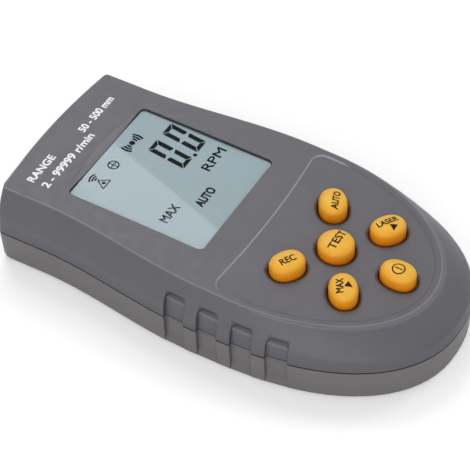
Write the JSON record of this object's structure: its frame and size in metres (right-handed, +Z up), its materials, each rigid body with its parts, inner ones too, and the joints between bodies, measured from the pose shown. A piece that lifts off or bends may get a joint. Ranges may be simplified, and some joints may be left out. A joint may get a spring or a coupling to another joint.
{
  "type": "laser tachometer",
  "caption": "Handheld non-contact laser tachometer with a waisted grey case, round rear end, ribbed grips, a display window and domed orange keys around a round test key.",
  "frame": {"origin": "middle of the bottom of the object's box, on the resting face", "axes": "+Y towards the measuring end, +X to the right when reading the display, +Z up out of the display face"},
  "size_m": [0.07, 0.1284, 0.026],
  "materials": {
    "case_top": "fine moulded texture, dark grey",
    "case_bottom": "fine moulded texture, warm dark grey",
    "dark_filter": "polished dark filter",
    "clear_window": "clear polished acrylic",
    "display": "pale reflective liquid crystal",
    "frame_plastic": "satin white",
    "elastomer": "pink silicone",
    "board": "green solder mask",
    "silicone": "translucent grey silicone",
    "key_orange": "satin orange yellow",
    "chip_black": "moulded black epoxy",
    "can_metal": "nickel plated can",
    "cell_can": "printed sleeve, plain green",
    "contact_metal": "nickel plated spring steel",
    "red_sleeve": "red insulation",
    "black_sleeve": "black insulation",
    "black_plastic": "matt black",
    "barrel_brass": "turned brass",
    "optic_glass": "clear polished lens",
    "screw_steel": "zinc plated steel"
  },
  "bodies": {
    "case": {"top_shell": "case_top", "bottom_shell": "case_bottom", "front_window": "dark_filter", "lcd_window": "clear_window", "lcd_glass": "display", "lcd_frame": "frame_plastic", "zebra_strips": "elastomer", "main_board": "board", "key_mat": "silicone", "controller_chip": "chip_black", "crystal": "can_metal", "cell_left": "cell_can", "cell_middle": "cell_can", "cell_right": "cell_can", "contact_front_bridge": "contact_metal", "contact_front_plus": "contact_metal", "contact_rear_bridge": "contact_metal", "contact_rear_minus": "contact_metal", "contact_springs": "contact_metal", "lead_red": "red_sleeve", "lead_black": "black_sleeve", "optics_bracket": "black_plastic", "laser_barrel": "barrel_brass", "laser_lens": "optic_glass", "laser_diode": "can_metal", "receiver_lens": "optic_glass", "photodiode": "chip_black", "case_screws": "screw_steel", "board_screws": "screw_steel"},
    "key_test_body": {"key_test": "key_orange"},
    "key_rec_body": {"key_rec": "key_orange"},
    "key_auto_body": {"key_auto": "key_orange"},
    "key_max_body": {"key_max": "key_orange"},
    "key_laser_body": {"key_laser": "key_orange"},
    "key_power_body": {"key_power": "key_orange"},
    "cover": {"battery_cover": "case_bottom"}
  },
  "joints": [
    {"name": "key_test_press", "type": "slide", "parent": "case", "child": "key_test_body", "axis": [0, 0, -1], "range_m": [0, 0.0009], "stiffness_N_per_m": 500, "springref_m": -0.002, "deforming": ["key_mat"]},
    {"name": "key_rec_press", "type": "slide", "parent": "case", "child": "key_rec_body", "axis": [0, 0, -1], "range_m": [0, 0.0009], "stiffness_N_per_m": 500, "springref_m": -0.002, "deforming": ["key_mat"]},
    {"name": "key_auto_press", "type": "slide", "parent": "case", "child": "key_auto_body", "axis": [0, 0, -1], "range_m": [0, 0.0009], "stiffness_N_per_m": 500, "springref_m": -0.002, "deforming": ["key_mat"]},
    {"name": "key_max_press", "type": "slide", "parent": "case", "child": "key_max_body", "axis": [0, 0, -1], "range_m": [0, 0.0009], "stiffness_N_per_m": 500, "springref_m": -0.002, "deforming": ["key_mat"]},
    {"name": "key_laser_press", "type": "slide", "parent": "case", "child": "key_laser_body", "axis": [0, 0, -1], "range_m": [0, 0.0009], "stiffness_N_per_m": 500, "springref_m": -0.002, "deforming": ["key_mat"]},
    {"name": "key_power_press", "type": "slide", "parent": "case", "child": "key_power_body", "axis": [0, 0, -1], "range_m": [0, 0.0009], "stiffness_N_per_m": 500, "springref_m": -0.002, "deforming": ["key_mat"]},
    {"name": "cover_hinge", "type": "hinge", "parent": "case", "child": "cover", "pos_m": [0, 0.0057, 0], "axis": [1, 0, 0], "range_deg": [0, 60]}
  ]
}
